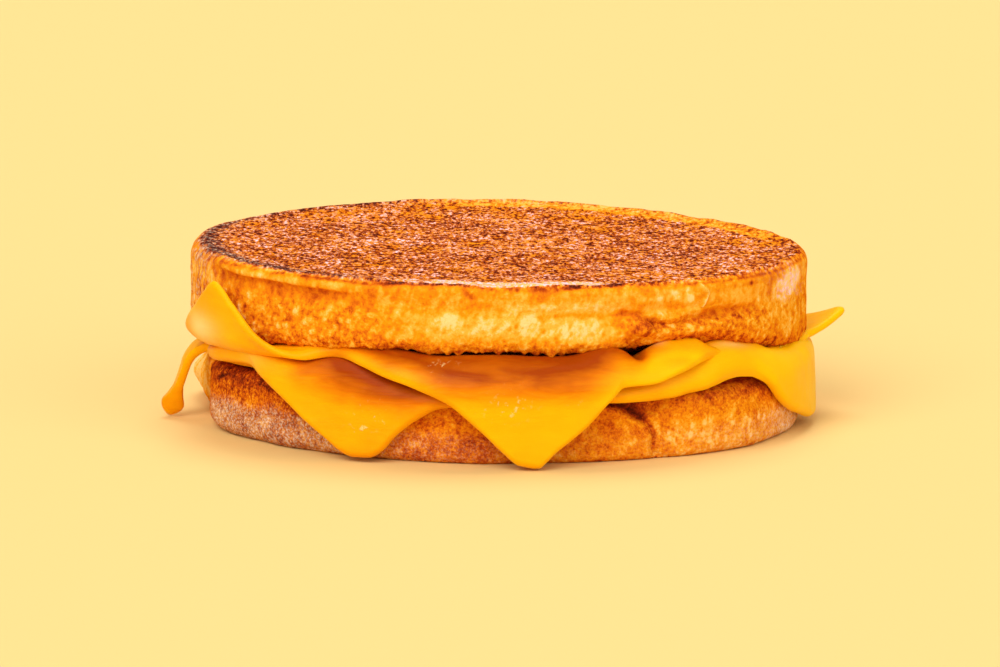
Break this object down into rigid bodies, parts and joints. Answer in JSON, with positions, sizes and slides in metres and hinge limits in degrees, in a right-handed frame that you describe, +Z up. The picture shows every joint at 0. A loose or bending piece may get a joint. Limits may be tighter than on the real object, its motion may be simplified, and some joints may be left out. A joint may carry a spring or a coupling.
{
  "type": "grilled cheese sandwich",
  "caption": "Toasted sandwich of oval bread with melted cheese that drapes over the lower slice in pointed flaps and drips at one side.",
  "frame": {"origin": "middle of the bottom slice's flat underside, where the sandwich rests", "axes": "+Z up, -Y towards the front where both cheese slices hang out, +X to the right seen from the front"},
  "size_m": [0.1249, 0.1105, 0.0328],
  "materials": {
    "bread_crumb": "browned, dry and porous bread crumb with a grilled underside",
    "cheese_underneath": "melted yellow-orange cheese with a soft greasy shine",
    "cheese_on_top": "melted yellow cheese with a soft greasy shine",
    "toasted_bread": "grilled face speckled brown and orange over a golden buttered crumb side"
  },
  "bodies": {
    "root": {"bottom_bread": "bread_crumb", "cheese_lower": "cheese_underneath", "cheese_upper": "cheese_on_top", "top_bread": "toasted_bread"}
  },
  "joints": []
}
